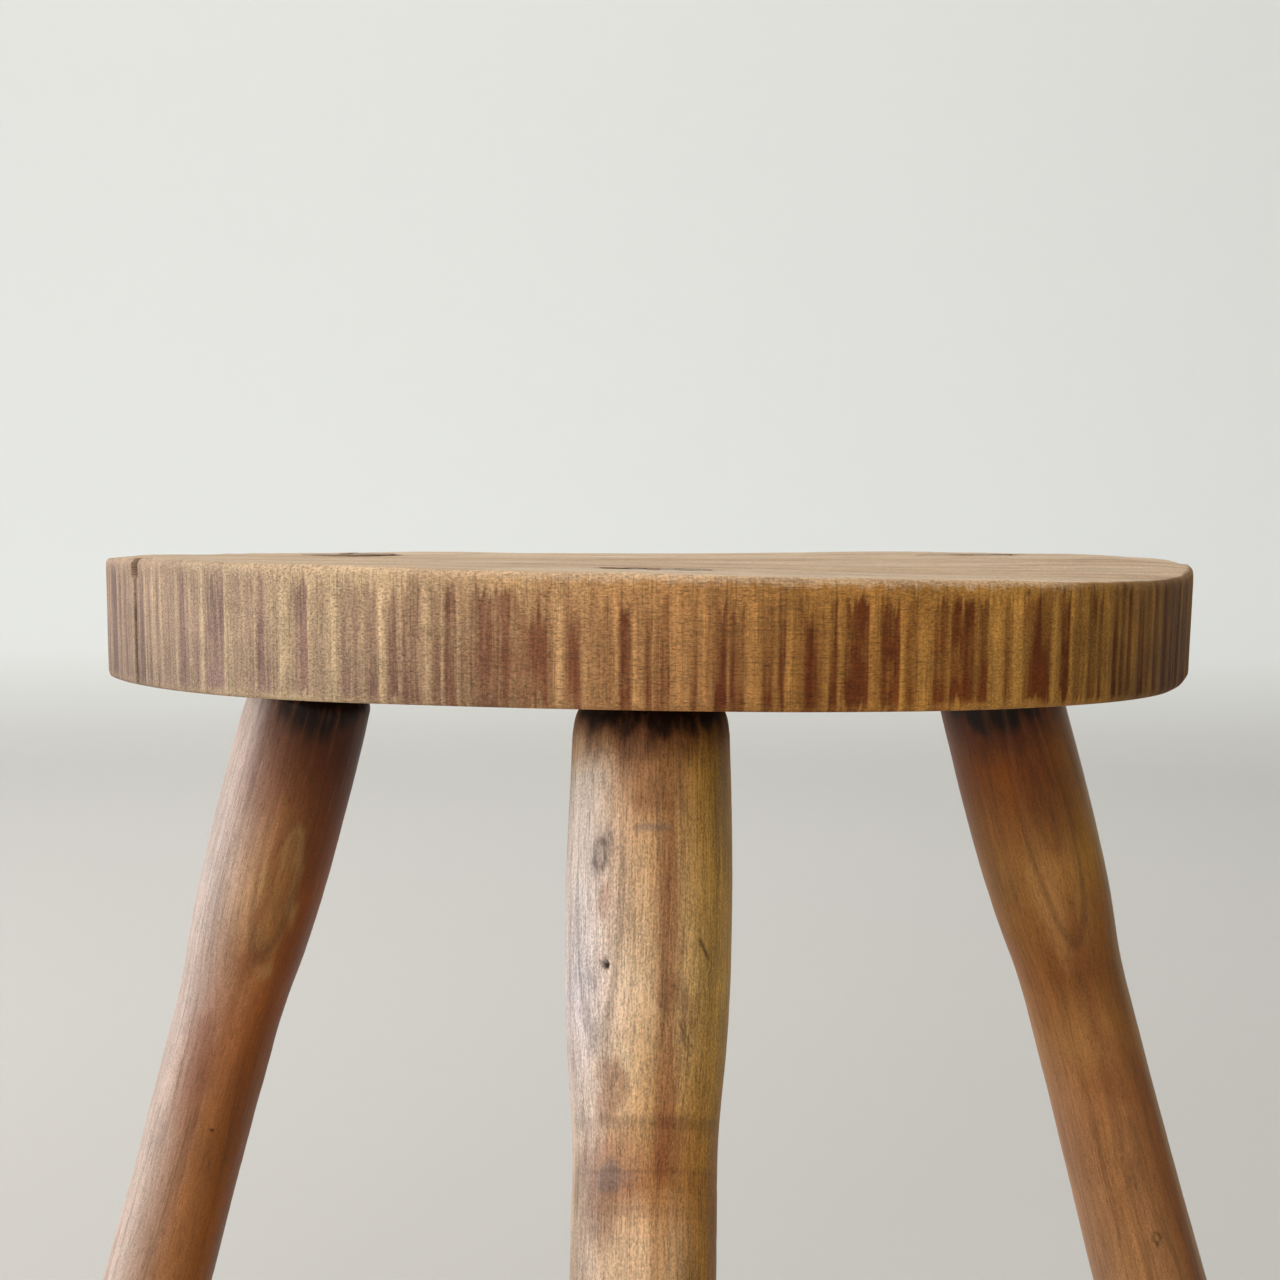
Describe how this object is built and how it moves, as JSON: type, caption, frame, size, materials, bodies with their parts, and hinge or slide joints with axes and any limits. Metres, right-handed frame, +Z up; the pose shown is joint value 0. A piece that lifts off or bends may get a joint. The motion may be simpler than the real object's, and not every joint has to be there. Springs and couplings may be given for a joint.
{
  "type": "milking stool",
  "caption": "Low wooden stool: a thick hand-cut round plank seat on splayed turned legs, held by wedged through tenons.",
  "frame": {"origin": "on the floor, under the middle of the stool's bounding box", "axes": "+Z up; one leg splays to the front (-Y), the other two to the back left (-X, +Y) and back right (+X, +Y); the seat's grain runs along X"},
  "size_m": [0.3978, 0.3806, 0.32],
  "materials": {
    "seat_plank": "dry, hand-worn old wood with dark patina in the tool marks and pale worn edges",
    "turned_leg": "hand-polished turned wood with a soft waxy sheen, stains and small knots",
    "wedge": "dark dry end grain"
  },
  "bodies": {
    "root": {"seat": "seat_plank", "leg_front": "turned_leg", "leg_left": "turned_leg", "leg_right": "turned_leg", "wedge_front": "wedge", "wedge_left": "wedge", "wedge_right": "wedge"}
  },
  "joints": []
}
